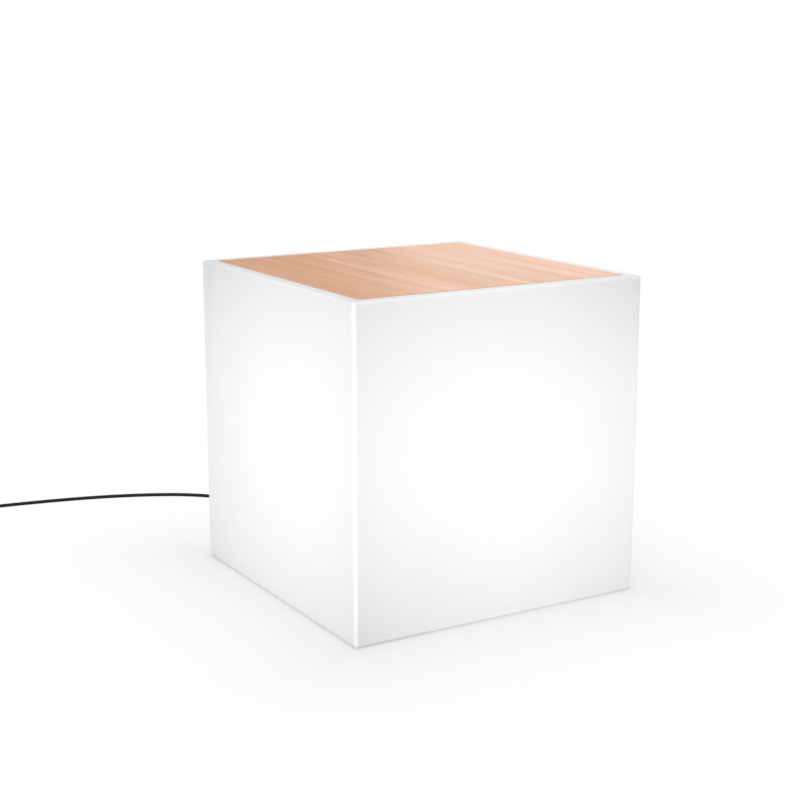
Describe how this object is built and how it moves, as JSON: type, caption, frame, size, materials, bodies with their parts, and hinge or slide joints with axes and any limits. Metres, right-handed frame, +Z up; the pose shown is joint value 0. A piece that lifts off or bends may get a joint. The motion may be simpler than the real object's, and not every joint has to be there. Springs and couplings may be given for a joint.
{
  "type": "illuminated cube side table",
  "caption": "Hollow translucent plastic cube lit from inside, with a lift-off wooden top laid in its rim, a lamp on a hatch underneath and a mains lead with plug.",
  "frame": {"origin": "on the floor, under the middle of the cube", "axes": "+Z up, -Y the front face, +Y the back face, where the lead leaves, X across"},
  "size_m": [0.7877, 0.8773, 0.4502],
  "materials": {
    "moulded_shell": "satin, translucent, lit from inside",
    "wooden_top": "fine-grained pale beech, satin lacquer",
    "black_rubber": "matt",
    "grey_rubber": "matt",
    "hatch_plastic": "satin",
    "gland_nylon": "satin",
    "stainless_steel": "bright",
    "zinc_steel": "zinc plated",
    "brass": "turned",
    "pedestal_plastic": "satin",
    "holder_plastic": "glossy",
    "white_ceramic": "unglazed",
    "contact_copper": "sprung sheet",
    "cap_aluminium": "satin",
    "black_cap_glass": "glossy",
    "solder": "dull solder",
    "lamp_plastic": "glossy",
    "circuit_board": "white solder mask",
    "driver_board": "green solder mask",
    "led_phosphor": "yellow phosphor",
    "driver_parts": "sleeved",
    "opal_globe": "opal, lit from inside",
    "terminal_plastic": "moulded",
    "brown_insulation": "smooth",
    "blue_insulation": "smooth",
    "nickel": "nickel plated"
  },
  "bodies": {
    "cube": {"cube_shell": "moulded_shell", "thread_inserts": "brass", "rubber_feet": "grey_rubber", "hatch_plate": "hatch_plastic", "hatch_gasket": "grey_rubber", "hatch_screws": "stainless_steel", "vent_plug": "grey_rubber", "gland_washer": "grey_rubber", "gland_body": "gland_nylon", "gland_lock_nut": "gland_nylon", "gland_seal": "grey_rubber", "lead_bend_sleeve": "black_rubber", "gland_dome_nut": "gland_nylon", "lead_clamp": "gland_nylon", "clamp_screws": "zinc_steel", "lamp_pedestal": "pedestal_plastic", "pedestal_screws": "zinc_steel", "threaded_nipple": "zinc_steel", "nipple_nut": "zinc_steel", "lampholder_base": "holder_plastic", "lampholder_skirt": "holder_plastic", "lampholder_insulator": "white_ceramic", "thread_contact": "contact_copper", "centre_contact": "contact_copper", "lamp_tip": "solder", "lamp_cap_glass": "black_cap_glass", "lamp_screw_cap": "cap_aluminium", "lamp_collar": "lamp_plastic", "lamp_heat_spreader": "cap_aluminium", "lamp_led_board": "circuit_board", "lamp_leds": "led_phosphor", "lamp_driver_board": "driver_board", "lamp_driver_parts": "driver_parts", "lamp_globe": "opal_globe", "terminal_block": "terminal_plastic", "terminal_sleeves": "brass", "terminal_screws": "zinc_steel", "lead_inner_end": "black_rubber", "live_core": "brown_insulation", "live_wire": "brown_insulation", "neutral_core": "blue_insulation", "neutral_wire": "blue_insulation", "lead_run": "black_rubber", "lead_coil": "black_rubber", "lead_tail": "black_rubber", "plug_bend_protector": "black_rubber", "plug_body": "black_rubber", "plug_pins": "nickel"},
    "table_top": {"top_panel": "wooden_top", "panel_pads": "grey_rubber"}
  },
  "joints": [
    {"name": "panel_lift", "type": "slide", "parent": "cube", "child": "table_top", "axis": [0, 0, 1], "range_m": [0, 0.06]}
  ]
}
